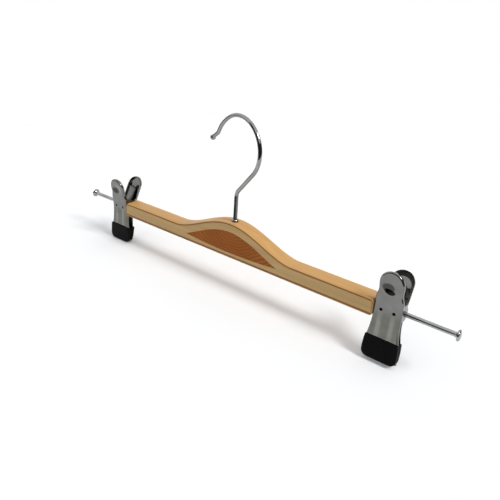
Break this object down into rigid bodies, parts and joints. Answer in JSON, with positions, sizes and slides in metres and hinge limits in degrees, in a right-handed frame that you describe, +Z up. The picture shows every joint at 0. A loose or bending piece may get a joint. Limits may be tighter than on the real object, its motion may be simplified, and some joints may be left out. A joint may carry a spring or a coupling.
{
  "type": "skirt hanger",
  "caption": "Wooden skirt hanger: a slim bar with a humped middle and a dark inlay, a swivel wire hook, and a rubber-padded spring clip that slides on a steel rod at each end.",
  "frame": {"origin": "where a rail seats inside the top of the hook, over the swivel axis", "axes": "+X along the bar towards the right clip, -Y the front face with the inlay, +Z up"},
  "size_m": [0.355, 0.0349, 0.1433],
  "materials": {
    "wood": "satin lacquer",
    "pale_veneer": "satin lacquer",
    "dark_veneer": "satin lacquer",
    "bright_steel": "polished",
    "jaw_steel": "plated and lightly worn",
    "spring_steel": "satin",
    "rubber_pad": "matt"
  },
  "bodies": {
    "hook": {"hook": "bright_steel"},
    "bar": {"bar": "wood", "front_facing": "pale_veneer", "inlay_panel": "dark_veneer", "hook_bush": "bright_steel", "left_rod": "bright_steel", "right_rod": "bright_steel"},
    "left_carrier": {"left_grip_sleeve": "spring_steel"},
    "left_front": {"left_front_jaw": "jaw_steel", "left_front_pad": "rubber_pad", "left_spring": "spring_steel"},
    "left_rear": {"left_rear_jaw": "jaw_steel", "left_rear_pad": "rubber_pad"},
    "right_carrier": {"right_grip_sleeve": "spring_steel"},
    "right_front": {"right_front_jaw": "jaw_steel", "right_front_pad": "rubber_pad", "right_spring": "spring_steel"},
    "right_rear": {"right_rear_jaw": "jaw_steel", "right_rear_pad": "rubber_pad"}
  },
  "joints": [
    {"name": "hook_swivel", "type": "hinge", "parent": "hook", "child": "bar", "pos_m": [0, 0, -0.08], "axis": [0, 0, 1], "continuous": true},
    {"name": "left_slide", "type": "slide", "parent": "bar", "child": "left_carrier", "axis": [-1, 0, 0], "range_m": [0, 0.031]},
    {"name": "left_swing", "type": "hinge", "parent": "left_carrier", "child": "left_front", "pos_m": [-0.1327, 0, -0.1048], "axis": [1, 0, 0], "continuous": true},
    {"name": "left_open", "type": "hinge", "parent": "left_front", "child": "left_rear", "pos_m": [-0.1327, 0, -0.1048], "axis": [1, 0, 0], "range_deg": [0, 34], "stiffness_Nm_per_rad": 0.25, "springref_deg": -57.3, "deforming": ["left_spring"]},
    {"name": "right_slide", "type": "slide", "parent": "bar", "child": "right_carrier", "axis": [1, 0, 0], "range_m": [0, 0.031]},
    {"name": "right_swing", "type": "hinge", "parent": "right_carrier", "child": "right_front", "pos_m": [0.1327, 0, -0.1048], "axis": [1, 0, 0], "continuous": true},
    {"name": "right_open", "type": "hinge", "parent": "right_front", "child": "right_rear", "pos_m": [0.1327, 0, -0.1048], "axis": [1, 0, 0], "range_deg": [0, 34], "stiffness_Nm_per_rad": 0.25, "springref_deg": -57.3, "deforming": ["right_spring"]}
  ]
}
